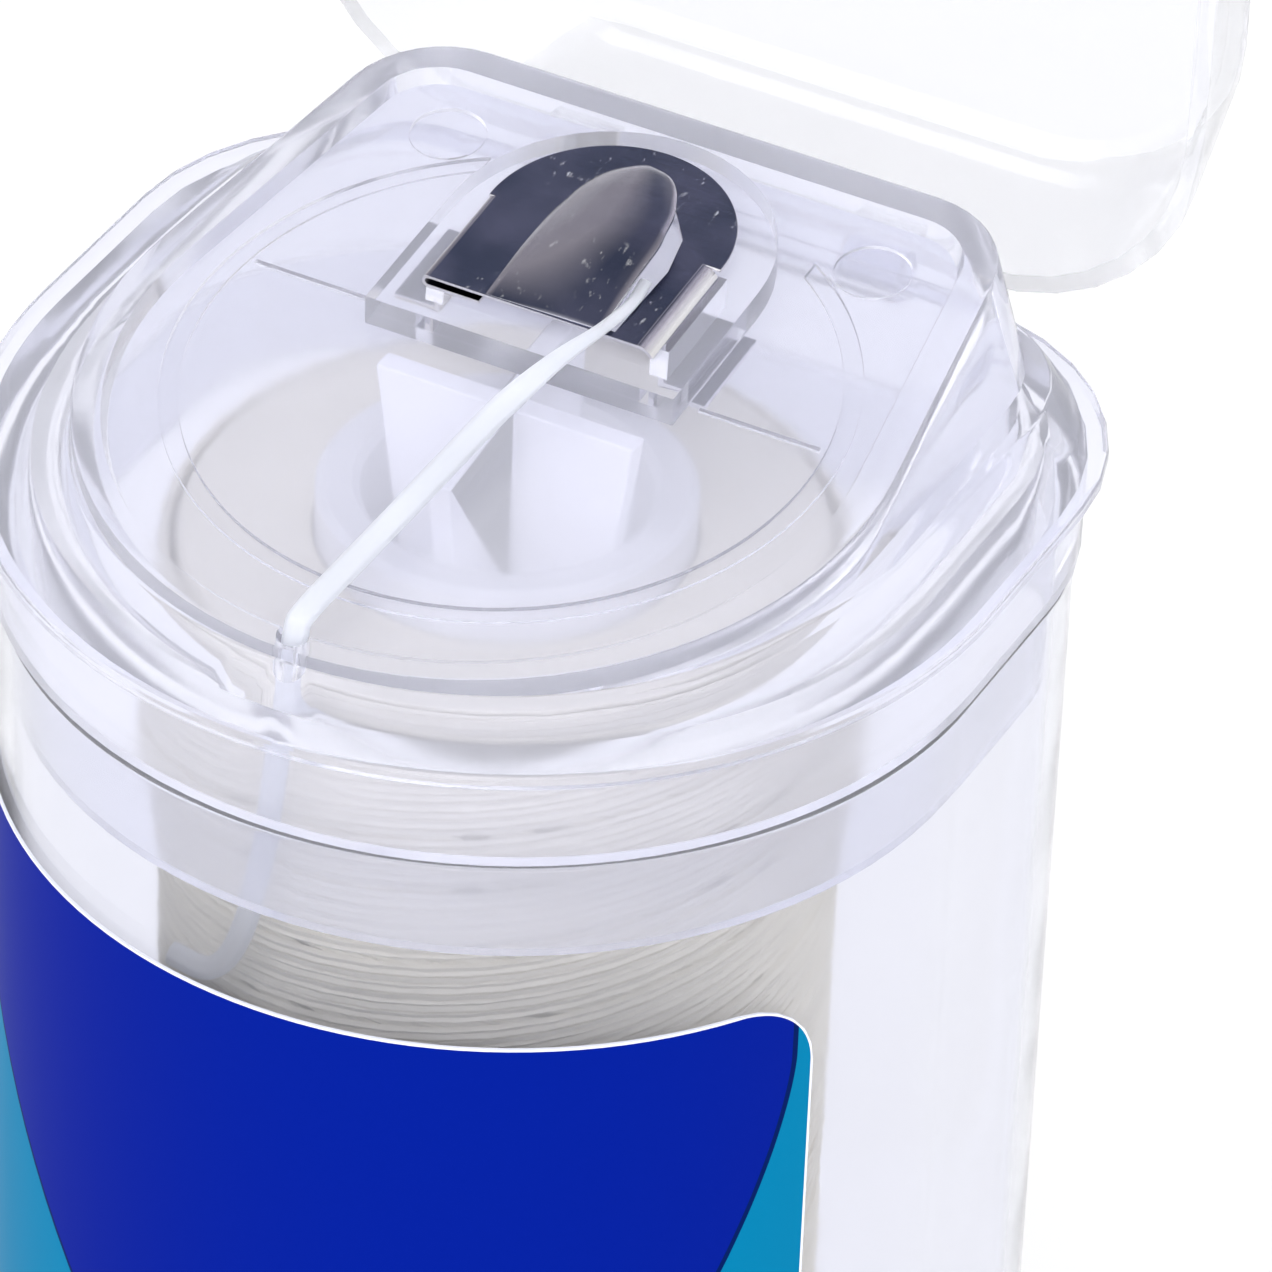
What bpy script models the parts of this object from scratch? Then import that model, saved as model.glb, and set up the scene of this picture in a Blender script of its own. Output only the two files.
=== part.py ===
"""Dental floss dispenser: a clear container, a clear press-fit closure with a sloping deck, a flip lid shown
open, a stamped cutter, and a wound package of floss that turns on a hollow core. Metres, +Z up, the front
is -Y and X runs left to right seen from the front. The origin is on the spool axis, at the base."""

import math

import bmesh
import bpy
import numpy as np
from mathutils import Matrix

MM = 0.001

# Shared fits
GAP = 0.3 * MM            # between pieces that touch
OVERRUN = 1.0 * MM        # how far a cutter passes a face
BITE = 0.3 * MM           # how far joined shapes run into each other
WELD = 0.001 * MM
ARC_STEPS = 48            # front arc of every outline
CORNER_STEPS = 8          # each back corner
ROUND_STEPS = 48          # sides of round pieces

# Container. The other outlines are set in from it
BODY_HALF = 25.8 * MM
BODY_BACK = 22.4 * MM
BODY_CORNER = 13.0 * MM
BODY_HEIGHT = 62.0 * MM
BODY_WALL = 0.9 * MM
BODY_FLOOR = 1.4 * MM
BODY_EDGE = 0.35 * MM
POST_HEIGHT = 5.0 * MM    # low boss on the floor that centres the core
POST_CLEAR = 0.8 * MM

# Closure, from the plug up to the shoulder
PLUG_DEPTH = 6.0 * MM
PLUG_WALL = 0.9 * MM
SKIRT_OUT = 0.3 * MM      # skirt beyond the container
SKIRT_HEIGHT = 5.6 * MM
FLANGE_OUT = 1.2 * MM
FLANGE_BACK = 0.6 * MM
FLANGE_THICK = 1.0 * MM
FLANGE_ROUND = 0.25 * MM
FOOT_IN = 1.1 * MM        # wall where it leaves the flange
FOOT_BACK_IN = 0.6 * MM
SHOULDER_RISE = 1.4 * MM
SHOULDER_IN = 3.0 * MM
SHOULDER_BACK_IN = 0.8 * MM
SHOULDER_CORNER = 8.5 * MM
SHOULDER_ROUND = 0.2 * MM
FADE_START = -9.0 * MM    # the shoulder widens from here
FADE_END = 3.0 * MM       # to here
FADE_WIDTH = 0.25 * MM    # its width in front
SHELL_WALL = 1.2 * MM

# Sloping deck, measured from the plane of its rim
DECK_RISE = 1.0 * MM      # shoulder to the plane at DECK_START
DECK_START = -20.0 * MM
DECK_SLOPE = math.tan(math.radians(6.34))
RIM_IN = 4.9 * MM
RIM_CENTRE = -1.8 * MM
RIM_BACK_IN = 1.1 * MM
RIM_CORNER = 5.5 * MM
RIM_TAPER = math.radians(8.5)
RIM_ROUND = 0.2 * MM
RIM_WIDTH = 1.7 * MM      # flat band between the edge and the recess
RIM_BACK_WIDTH = 1.9 * MM
RECESS_CENTRE = -2.2 * MM
RECESS_CORNER = 3.5 * MM
RECESS_DEPTH = 0.8 * MM
RECESS_SLOPE = 0.35 * MM  # how far its wall leans in
DECK_THICK = 1.1 * MM
MARK_RADIUS = 2.0 * MM    # two shallow round marks at the back
MARK_X = 12.2 * MM
MARK_Y = 15.5 * MM
MARK_DEPTH = 0.2 * MM

# Boss under the cutter
BOSS_HALF = 8.7 * MM
BOSS_FRONT = 0.7 * MM
BOSS_CENTRE = 9.7 * MM
BOSS_TOP = 0.8 * MM

# Cutter
PLATE_HALF = 6.6 * MM
PLATE_THICK = 0.4 * MM
PLATE_FRONT = 2.7 * MM
PLATE_CENTRE = 9.8 * MM
LEG_FRONT = 4.0 * MM
LEG_BACK = 9.6 * MM
LEG_INSET = 0.05 * MM
TAB_REACH = 2.4 * MM
TONGUE_RISE = 1.5 * MM
TONGUE_CREASE = -3.3 * MM
TONGUE = ((-3.3 * MM, 2.2 * MM), (3.5 * MM, 1.9 * MM), (3.7 * MM, 6.1 * MM), (3.9 * MM, 8.2 * MM),
          (3.4 * MM, 10.5 * MM), (2.3 * MM, 11.9 * MM), (0.4 * MM, 13.8 * MM), (-1.1 * MM, 15.2 * MM),
          (-2.3 * MM, 13.4 * MM), (-3.1 * MM, 10.8 * MM))
WINDOW = ((-3.0 * MM, 1.5 * MM), (4.1 * MM, 1.5 * MM), (4.2 * MM, 6.1 * MM), (4.3 * MM, 8.3 * MM),
          (3.8 * MM, 10.8 * MM), (2.6 * MM, 12.4 * MM), (0.9 * MM, 14.0 * MM), (-0.6 * MM, 14.6 * MM),
          (-1.9 * MM, 13.1 * MM), (-2.7 * MM, 10.7 * MM))

# Floss exit through the front of the rim
EXIT_IN = 1.1 * MM        # its axis, inside the rim's front edge
EXIT_RADIUS = 0.85 * MM
EXIT_ABOVE = 2.0 * MM
EXIT_BELOW = 4.6 * MM

# Lid and its hinge, sized in the closed pose
LID_OUT = 0.2 * MM        # beyond the container
LID_BACK_OUT = 0.6 * MM
LID_CORNER = 12.0 * MM
LID_TOP_IN = 2.8 * MM     # its top is narrower by this
LID_TOP_BACK_IN = 0.2 * MM
LID_TOP_CORNER = 11.0 * MM
LID_DEPTH = 12.6 * MM
LID_WALL = 1.0 * MM
LID_ROUND = 1.4 * MM
LID_OPEN = math.radians(90.0)
HINGE_BACK = 0.6 * MM     # axis behind the lid's back
HINGE_DROP = 0.2 * MM     # axis below the flange's top
BARREL_RADIUS = 1.2 * MM
BARREL_HALF = 7.0 * MM
STUB_RADIUS = 0.6 * MM
STUB_HALF = 10.2 * MM
LUG_RADIUS = 1.35 * MM
LUG_LENGTH = 3.2 * MM
LUG_BORE = 0.9 * MM

# Spindle under the deck: two crossed fins
FIN_CLEAR = 0.1 * MM      # inside the core's bore, at the deck
FIN_TAPER = 1.9 * MM
FIN_THICK = 1.3 * MM
FIN_LENGTH = 14.0 * MM

# Core and floss
PACK_CLEAR = 7.5 * MM     # between the package and the container
WIND_DIAMETER = 1.6 * MM
WIND_PITCH = 2.3 * MM
WIND_MOST_STEPS = 24
WIND_TURN_STEPS = 24
WIND_GAP = 0.4 * MM       # least gap allowed between turns
PACK_LAYER = 5.55 * MM    # thickness of the inner layers, drawn as one plain body
PACK_LOW = 2.6 * MM       # above the core's lower end
PACK_TOP = 1.4 * MM       # above the container's edge
CORE_WALL = 2.25 * MM
CORE_TOP = 4.0 * MM       # above the container's edge
CORE_EDGE = 0.4 * MM
STRAND = 1.0 * MM

# Strand: lower route by clearance from the package, bearing and drop below the container's edge
RISE_ROUTE = ((1.05 * MM, math.radians(-127.0), 19.4 * MM), (1.1 * MM, math.radians(-113.0), 18.0 * MM),
              (1.2 * MM, math.radians(-105.0), 14.0 * MM), (2.2 * MM, math.radians(-97.0), 6.0 * MM),
              (3.6 * MM, math.radians(-92.0), -1.0 * MM), (4.3 * MM, math.radians(-90.0), -6.0 * MM))
# Over the deck: first points from the exit's axis, the rest from the spool axis, with heights above the deck
EXIT_ROUTE = ((0, -0.15 * MM, -0.9 * MM), (0, -0.05 * MM, 0.05 * MM), (0.1 * MM, 0.7 * MM, 0.8 * MM),
              (0.6 * MM, 6.3 * MM, 0.8 * MM))
DECK_ROUTE = ((1.3 * MM, -5.5 * MM, 0.8 * MM), (1.6 * MM, -2.4 * MM, 0.95 * MM),
              (2.0 * MM, 0.1 * MM, 1.65 * MM), (2.4 * MM, 4.4 * MM, 1.66 * MM), (2.7 * MM, 8.3 * MM, 1.66 * MM))
STRAND_STEP = 2.2 * MM

# Label on the front wall
LABEL_THICK = 0.15 * MM
LABEL_LOW = 6.0 * MM
LABEL_DROP = 10.8 * MM    # its top edge, below the container's edge
LABEL_ANGLE = math.radians(65.0)
LABEL_CORNER = 4.5 * MM
LABEL_STEPS = 44

HALF_SHARE = 0.5
RIM_HALF = BODY_HALF - RIM_IN
RIM_BACK = BODY_BACK - RIM_BACK_IN
RECESS_HALF = RIM_HALF - RIM_WIDTH
RECESS_BACK = RIM_BACK - RIM_BACK_WIDTH
EXIT_Y = RIM_CENTRE - RIM_HALF + EXIT_IN
LID_HALF = BODY_HALF + LID_OUT
LID_BACK = BODY_BACK + LID_BACK_OUT
HINGE_Y = LID_BACK + HINGE_BACK
FLANGE_LOW = BODY_HEIGHT + SKIRT_HEIGHT
FLANGE_TOP = FLANGE_LOW + FLANGE_THICK
SHOULDER_Z = FLANGE_TOP + SHOULDER_RISE
DECK_Z = SHOULDER_Z + DECK_RISE
HINGE_Z = FLANGE_TOP - HINGE_DROP
DECK_LOW = -RECESS_DEPTH - DECK_THICK
PLATE_LOW = BOSS_TOP + GAP
PLATE_TOP = PLATE_LOW + PLATE_THICK
TAB_TOP = DECK_LOW - GAP
PACK_OUTER = BODY_HALF - BODY_WALL - PACK_CLEAR
WIND_RADIUS = PACK_OUTER - WIND_DIAMETER * HALF_SHARE
PACK_RADIUS = PACK_OUTER - WIND_DIAMETER - GAP
CORE_RADIUS = PACK_RADIUS - PACK_LAYER - GAP
CORE_BORE = CORE_RADIUS - CORE_WALL
POST_RADIUS = CORE_BORE - POST_CLEAR
FIN_HALF = CORE_BORE - FIN_CLEAR
FIN_TIP = FIN_HALF - FIN_TAPER
CORE_LOW = BODY_FLOOR + GAP
CORE_HIGH = BODY_HEIGHT + CORE_TOP
PACK_BASE = CORE_LOW + PACK_LOW
PACK_HIGH = BODY_HEIGHT + PACK_TOP
WIND_LOW = PACK_BASE + WIND_DIAMETER
WIND_HIGH = PACK_HIGH - WIND_DIAMETER
WIND_LOOPS = min(WIND_MOST_STEPS, int((WIND_HIGH - WIND_LOW) / WIND_PITCH))
LABEL_HIGH = BODY_HEIGHT - LABEL_DROP


def clear_scene():
    for thing in list(bpy.data.objects):
        bpy.data.objects.remove(thing, do_unlink=True)


def collection(name):
    group = bpy.data.collections.new(name)
    bpy.context.scene.collection.children.link(group)
    return group


def material(name, colour, rough, metal=0.0, see_through=0.0):
    made = bpy.data.materials.new(name)
    made.use_nodes = True
    shader = made.node_tree.nodes["Principled BSDF"]
    shader.inputs["Base Color"].default_value = (*colour, 1.0)
    shader.inputs["Roughness"].default_value = rough
    shader.inputs["Metallic"].default_value = metal
    shader.inputs["Transmission Weight"].default_value = see_through
    return made


def placed(name, mesh, group, look=None):
    thing = bpy.data.objects.new(name, mesh)
    group.objects.link(thing)
    if look:
        mesh.materials.append(look)
    else:
        thing.hide_render = True
        thing.display_type = "WIRE"
    return thing


def outline(half, centre, back, corner, taper=0.0):
    """Plan outline: a front arc, straight sides that may close in, and two round back corners."""
    front = np.linspace(-math.pi - taper, taper, ARC_STEPS + 1)
    points = [(half * math.cos(t), centre + half * math.sin(t)) for t in front]
    middle = (half - corner + (centre - back + corner) * math.sin(taper)) / math.cos(taper)
    for side in (1, -1):
        turn = np.linspace(taper, math.pi * HALF_SHARE, CORNER_STEPS + 1)
        arc = [(side * (middle + corner * math.cos(t)), back - corner + corner * math.sin(t)) for t in turn]
        points += arc if side > 0 else arc[::-1]
    return np.array(points)


def level(plan, z):
    return [(x, y, z) for x, y in plan]


def on_deck(plan, above):
    return [(x, y, deck_height(y) + above) for x, y in plan]


def deck_height(y):
    return DECK_Z + DECK_SLOPE * (y - DECK_START)


def lay_on_deck(thing):
    """Shears a shape built with its heights from zero so that it follows the sloping deck."""
    for vertex in thing.data.vertices:
        vertex.co.z += deck_height(vertex.co.y)
    return thing


def loft(name, rings, group, look=None):
    """Closed body through rings of equal point counts, with a flat cap on the first and the last."""
    shape = bmesh.new()
    rows = [[shape.verts.new(p) for p in ring] for ring in rings]
    for low, high in zip(rows, rows[1:]):
        for i, vertex in enumerate(low):
            after = (i + 1) % len(low)
            shape.faces.new((vertex, low[after], high[after], high[i]))
    shape.faces.new(rows[0][::-1])
    shape.faces.new(rows[-1])
    bmesh.ops.recalc_face_normals(shape, faces=shape.faces)
    mesh = bpy.data.meshes.new(name)
    shape.to_mesh(mesh)
    shape.free()
    return placed(name, mesh, group, look)


def prism(name, plan, low, high, group, look=None):
    """Flat outline drawn as a filled curve and raised to a slab."""
    curve = bpy.data.curves.new(name, "CURVE")
    curve.dimensions = "2D"
    curve.fill_mode = "BOTH"
    curve.extrude = (high - low) * HALF_SHARE
    line = curve.splines.new("POLY")
    line.points.add(len(plan) - 1)
    for point, (x, y) in zip(line.points, plan):
        point.co = (x, y, 0, 1)
    line.use_cyclic_u = True
    return meshed(name, curve, Matrix.Translation((0, 0, (low + high) * HALF_SHARE)), group, look)


def meshed(name, curve, matrix, group, look=None):
    draft = bpy.data.objects.new(name, curve)
    bpy.context.scene.collection.objects.link(draft)
    bpy.context.view_layer.update()
    ready = draft.evaluated_get(bpy.context.evaluated_depsgraph_get())
    mesh = bpy.data.meshes.new_from_object(ready)
    bpy.data.objects.remove(draft, do_unlink=True)
    shape = bmesh.new()
    shape.from_mesh(mesh)
    bmesh.ops.remove_doubles(shape, verts=shape.verts, dist=WELD)
    bmesh.ops.recalc_face_normals(shape, faces=shape.faces)
    shape.to_mesh(mesh)
    shape.free()
    mesh.transform(matrix)
    mesh.name = name
    return placed(name, mesh, group, look)


def rod(name, radius, length, middle, group, look=None, along="Z"):
    """Cylinder about its middle point, standing or lying along X."""
    turn = Matrix.Rotation(math.pi * HALF_SHARE, 4, "Y") if along == "X" else Matrix.Identity(4)
    shape = bmesh.new()
    bmesh.ops.create_cone(shape, cap_ends=True, segments=ROUND_STEPS, radius1=radius, radius2=radius,
                          depth=length, matrix=Matrix.Translation(middle) @ turn)
    mesh = bpy.data.meshes.new(name)
    shape.to_mesh(mesh)
    shape.free()
    return placed(name, mesh, group, look)


def box(name, low, high, group, look=None):
    low, high = np.array(low), np.array(high)
    shape = bmesh.new()
    bmesh.ops.create_cube(shape, size=1.0)
    mesh = bpy.data.meshes.new(name)
    shape.to_mesh(mesh)
    shape.free()
    mesh.transform(Matrix.Translation((low + high) * HALF_SHARE) @ Matrix.Diagonal((*(high - low), 1.0)))
    return placed(name, mesh, group, look)


def turned(name, profile, group, look=None):
    """Body of revolution about Z. The profile runs down the outer side and back up the bore."""
    mesh = bpy.data.meshes.new(name)
    count = len(profile)
    mesh.from_pydata([(r, 0, z) for r, z in profile], [(i, (i + 1) % count) for i in range(count)], [])
    thing = placed(name, mesh, group, look)
    screw = thing.modifiers.new("turn", "SCREW")
    screw.steps = screw.render_steps = ROUND_STEPS
    screw.use_merge_vertices = True
    screw.merge_threshold = WELD
    return thing


def combine(target, tool, operation="DIFFERENCE"):
    step = target.modifiers.new(tool.name, "BOOLEAN")
    step.operation = operation
    step.solver = "EXACT"
    step.object = tool
    return target


def bevel(target, width, segments=2):
    step = target.modifiers.new("edge", "BEVEL")
    step.width = width
    step.segments = segments
    step.limit_method = "ANGLE"
    step.angle_limit = math.radians(50.0)


def tube(name, points, diameter, group, look, resolution):
    curve = bpy.data.curves.new(name, "CURVE")
    curve.dimensions = "3D"
    curve.bevel_depth = diameter * HALF_SHARE
    curve.bevel_resolution = resolution
    curve.use_fill_caps = True
    line = curve.splines.new("POLY")
    line.points.add(len(points) - 1)
    for point, place in zip(line.points, points):
        point.co = (*place, 1)
    return meshed(name, curve, Matrix.Identity(4), group, look)


def smoothed(route, step):
    """Points at even spacing on a smooth curve through the route."""
    route = np.array(route, float)
    ends = np.vstack([2 * route[0] - route[1], route, 2 * route[-1] - route[-2]])
    fine = []
    for a, b, c, d in zip(ends, ends[1:], ends[2:], ends[3:]):
        for t in np.linspace(0, 1, 30, endpoint=False):
            bend = (2 * a - 5 * b + 4 * c - d) * t ** 2 + (3 * b - a - 3 * c + d) * t ** 3
            fine.append((2 * b + (c - a) * t + bend) * HALF_SHARE)
    fine = np.array(fine + [route[-1]])
    run = np.concatenate([[0], np.cumsum(np.linalg.norm(np.diff(fine, axis=0), axis=1))])
    places = np.linspace(0, run[-1], round(run[-1] / step) + 1)
    return np.array([[np.interp(s, run, fine[:, k]) for k in range(3)] for s in places])


def smooth(thing):
    thing.data.polygons.foreach_set("use_smooth", [True] * len(thing.data.polygons))


def body_outline(grow=0.0):
    return outline(BODY_HALF + grow, 0, BODY_BACK + grow, BODY_CORNER + grow)


def make_container(parts, cutters, look):
    shell = prism("container_body", body_outline(), 0, BODY_HEIGHT, parts, look)
    bevel(shell, BODY_EDGE)
    hollow = prism("container_hollow", body_outline(-BODY_WALL), BODY_FLOOR, BODY_HEIGHT + OVERRUN, cutters)
    bevel(hollow, BODY_EDGE)
    combine(shell, hollow)
    height = POST_HEIGHT + BITE
    middle = (0, 0, BODY_FLOOR + POST_HEIGHT - height * HALF_SHARE)
    combine(shell, rod("container_post", POST_RADIUS, height, middle, cutters), "UNION")


def turned_edge(lower, upper, radius, inset):
    """Three sections that round an outer edge between a lower and an upper height."""
    share = 1 - math.sqrt(HALF_SHARE)
    return ((inset, lower), (inset + radius * share, upper - radius * share), (inset + radius, upper))


def closure_rings():
    """Section of the closure, from the underside of the deck down, round the plug and up to the recess."""
    wall, plug = SHELL_WALL, BODY_WALL + GAP
    seat = BODY_HEIGHT + GAP
    under = outline(RIM_HALF - wall, RIM_CENTRE, RIM_BACK - wall, RIM_CORNER - wall, RIM_TAPER)
    plug_inner, plug_outer = body_outline(-plug - PLUG_WALL), body_outline(-plug)
    low = BODY_HEIGHT - PLUG_DEPTH
    rings = [
        on_deck(under, DECK_LOW),
        level(shoulder_outline(wall, 0), SHOULDER_Z - wall),
        level(plug_inner, FLANGE_LOW),
        level(plug_inner, low),
        level(plug_outer, low),
        level(plug_outer, seat),
        level(body_outline(SKIRT_OUT - FLANGE_ROUND), seat),
        level(body_outline(SKIRT_OUT), seat + FLANGE_ROUND),
        level(body_outline(SKIRT_OUT), FLANGE_LOW),
        level(flange_outline(FLANGE_ROUND), FLANGE_LOW),
        level(flange_outline(0), FLANGE_LOW + FLANGE_ROUND),
    ]
    for inset, z in turned_edge(FLANGE_TOP - FLANGE_ROUND, FLANGE_TOP, FLANGE_ROUND, 0):
        rings.append(level(flange_outline(inset), z))
    foot_half, foot_back = BODY_HALF - FOOT_IN, BODY_BACK - FOOT_BACK_IN
    rings.append(level(outline(foot_half, 0, foot_back, SHOULDER_CORNER + wall), FLANGE_TOP))
    for inset, z in turned_edge(SHOULDER_Z - SHOULDER_ROUND, SHOULDER_Z, SHOULDER_ROUND, 0):
        rings.append(level(faded_shoulder(inset), z))
    corner = SHOULDER_CORNER - wall
    rings.append(level(outline(RIM_HALF, RIM_CENTRE, RIM_BACK, corner), SHOULDER_Z))
    for inset, z in turned_edge(-RIM_ROUND, 0, RIM_ROUND, 0):
        plan = outline(RIM_HALF - inset, RIM_CENTRE, RIM_BACK - inset, RIM_CORNER - inset, RIM_TAPER)
        rings.append(on_deck(plan, z))
    for inset, z in ((0, 0), (RECESS_SLOPE, -RECESS_DEPTH)):
        plan = outline(RECESS_HALF - inset, RECESS_CENTRE, RECESS_BACK - inset, RECESS_CORNER - inset, RIM_TAPER)
        rings.append(on_deck(plan, z))
    return rings


def flange_outline(inset):
    return outline(BODY_HALF + FLANGE_OUT - inset, 0, BODY_BACK + FLANGE_BACK - inset, BODY_CORNER - inset)


def shoulder_outline(inset, grow):
    half, back = BODY_HALF - SHOULDER_IN - inset, BODY_BACK - SHOULDER_BACK_IN - inset
    return outline(half + grow, 0, back + grow, SHOULDER_CORNER)


def faded_shoulder(inset):
    """Outer edge of the shoulder, which runs out into the deck's edge in front."""
    corner = SHOULDER_CORNER - SHELL_WALL
    wide = max(FADE_WIDTH - inset, FADE_WIDTH - SHOULDER_ROUND)
    base = outline(RIM_HALF, RIM_CENTRE, RIM_BACK, corner)
    near = outline(RIM_HALF + wide, RIM_CENTRE, RIM_BACK + wide, corner)
    share = np.clip((base[:, 1:] - FADE_START) / (FADE_END - FADE_START), 0, 1)
    share = share * share * (3 - 2 * share)
    return near * (1 - share) + shoulder_outline(inset, 0) * share


def arch(half, front, centre, steps=24):
    """Straight front edge and sides with a half-round back."""
    turn = np.linspace(0, math.pi, steps + 1)
    round_back = [(half * math.cos(t), centre + half * math.sin(t)) for t in turn]
    return [(-half, front), (half, front)] + round_back


def make_closure(parts, cutters, look):
    closure = loft("closure_deck", closure_rings(), parts, look)
    boss = prism("deck_boss", arch(BOSS_HALF, BOSS_FRONT, BOSS_CENTRE), -RECESS_DEPTH - BITE, BOSS_TOP, cutters)
    combine(closure, lay_on_deck(boss), "UNION")
    depth = EXIT_ABOVE + EXIT_BELOW
    middle = (0, EXIT_Y, EXIT_ABOVE - depth * HALF_SHARE)
    combine(closure, lay_on_deck(rod("floss_exit", EXIT_RADIUS, depth, middle, cutters)))
    for side, word in ((1, "right"), (-1, "left")):
        inner = side * (PLATE_HALF - LEG_INSET - PLATE_THICK - GAP)
        outer = side * (PLATE_HALF - LEG_INSET + GAP)
        low = (min(inner, outer), LEG_FRONT - GAP, DECK_LOW - OVERRUN)
        high = (max(inner, outer), LEG_BACK + GAP, BOSS_TOP + OVERRUN)
        combine(closure, lay_on_deck(box("leg_slot_" + word, low, high, cutters)))
        middle = (side * MARK_X, MARK_Y, -RECESS_DEPTH + OVERRUN - MARK_DEPTH)
        mark = rod("deck_mark_" + word, MARK_RADIUS, OVERRUN + OVERRUN, middle, cutters)
        combine(closure, lay_on_deck(mark))
    span = BARREL_HALF + GAP
    middle = (0, HINGE_Y, HINGE_Z)
    combine(closure, rod("barrel_room", BARREL_RADIUS + GAP, span + span, middle, cutters, along="X"))
    for side, word in ((1, "right"), (-1, "left")):
        middle = (side * (span + LUG_LENGTH * HALF_SHARE), HINGE_Y, HINGE_Z)
        combine(closure, rod("hinge_lug_" + word, LUG_RADIUS, LUG_LENGTH, middle, cutters, along="X"), "UNION")
    length = span + LUG_LENGTH + OVERRUN
    middle = (0, HINGE_Y, HINGE_Z)
    combine(closure, rod("lug_bore", LUG_BORE, length + length, middle, cutters, along="X"))


def lid_rings():
    """Section of the lid, closed, from the underside of its top, round the edge and up to the top."""
    rim = FLANGE_TOP + GAP
    top = rim + LID_DEPTH
    ease = LID_ROUND * (1 - math.sqrt(HALF_SHARE))

    def ring(inset, z, upper=True):
        if upper:
            half, back = LID_HALF - LID_TOP_IN - inset, LID_BACK - LID_TOP_BACK_IN - inset
            return level(outline(half, 0, back, LID_TOP_CORNER - inset), z)
        return level(outline(LID_HALF - inset, 0, LID_BACK - inset, LID_CORNER - inset), z)

    return [
        ring(LID_WALL + LID_ROUND * HALF_SHARE, top - LID_WALL),
        ring(LID_WALL, top - LID_WALL - LID_ROUND * HALF_SHARE),
        ring(LID_WALL, rim, upper=False),
        ring(0, rim, upper=False),
        ring(0, top - LID_ROUND),
        ring(ease, top - ease),
        ring(LID_ROUND, top),
    ]


def make_lid(parts, cutters, look):
    """Built closed and then opened, with its origin on the hinge axis."""
    lid = loft("flip_lid", lid_rings(), parts, look)
    tools = []
    span = BARREL_HALF + GAP
    for side, word in ((1, "right"), (-1, "left")):
        length = LUG_LENGTH + GAP + GAP
        middle = (side * (span + LUG_LENGTH * HALF_SHARE), HINGE_Y, HINGE_Z)
        room = rod("lug_room_" + word, LUG_RADIUS + GAP, length, middle, cutters, along="X")
        tools.append((room, "DIFFERENCE"))
    middle = (0, HINGE_Y, HINGE_Z)
    tools.append((rod("lid_barrel", BARREL_RADIUS, BARREL_HALF + BARREL_HALF, middle, cutters, along="X"), "UNION"))
    tools.append((rod("lid_stubs", STUB_RADIUS, STUB_HALF + STUB_HALF, middle, cutters, along="X"), "UNION"))
    axis = Matrix.Translation(middle)
    opened = axis @ Matrix.Rotation(-LID_OPEN, 4, "X") @ axis.inverted()
    for tool, operation in tools:
        tool.data.transform(opened)
        combine(lid, tool, operation)
    lid.data.transform(axis.inverted() @ opened)
    lid.location = middle


def sheared_tongue(cutters):
    """Leaf that rises from its crease to its free edge."""
    tongue = prism("cutter_tongue", [(x, y) for x, y in TONGUE], PLATE_LOW, PLATE_TOP, cutters)
    reach = max(x for x, y in TONGUE) - TONGUE_CREASE
    for vertex in tongue.data.vertices:
        vertex.co.z += TONGUE_RISE * (vertex.co.x - TONGUE_CREASE) / reach
    return lay_on_deck(tongue)


def make_cutter(parts, cutters, look):
    plate = prism("cutter_plate", arch(PLATE_HALF, PLATE_FRONT, PLATE_CENTRE), PLATE_LOW, PLATE_TOP, parts, look)
    lay_on_deck(plate)
    window = prism("cutter_window", WINDOW, PLATE_LOW - OVERRUN, PLATE_TOP + OVERRUN, cutters)
    combine(plate, lay_on_deck(window))
    combine(plate, sheared_tongue(cutters), "UNION")
    for side, word in ((1, "right"), (-1, "left")):
        outer = PLATE_HALF - LEG_INSET
        inner = outer - PLATE_THICK
        low = (min(side * outer, side * inner), LEG_FRONT, TAB_TOP - PLATE_THICK + LEG_INSET)
        high = (max(side * outer, side * inner), LEG_BACK, PLATE_TOP - LEG_INSET)
        combine(plate, lay_on_deck(box("cutter_leg_" + word, low, high, cutters)), "UNION")
        far = outer + TAB_REACH
        low = (min(side * inner, side * far), LEG_FRONT + LEG_INSET, TAB_TOP - PLATE_THICK)
        high = (max(side * inner, side * far), LEG_BACK - LEG_INSET, TAB_TOP)
        combine(plate, lay_on_deck(box("cutter_tab_" + word, low, high, cutters)), "UNION")


def fin(name, group, look, slopes):
    """Tapered fin across the spool axis. Its top follows the deck where it runs front to back."""
    rise = DECK_SLOPE * FIN_HALF * slopes
    top = deck_height(0) + DECK_LOW - GAP - DECK_SLOPE * FIN_THICK * (1 - slopes)
    low = deck_height(0) + DECK_LOW - FIN_LENGTH
    plan = [(-FIN_TIP, low), (FIN_TIP, low), (FIN_HALF, top + rise), (-FIN_HALF, top - rise)]
    thing = prism(name, plan, -FIN_THICK * HALF_SHARE, FIN_THICK * HALF_SHARE, group, look)
    stand = Matrix.Rotation(math.pi * HALF_SHARE, 4, "X")
    turn = Matrix.Rotation(math.pi * HALF_SHARE, 4, "Z") if slopes else Matrix.Identity(4)
    thing.data.transform(turn @ stand)
    return thing


def make_spindle(parts, cutters, look):
    spindle = fin("spool_spindle", parts, look, 1)
    combine(spindle, fin("cross_fin", cutters, None, 0), "UNION")


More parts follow.
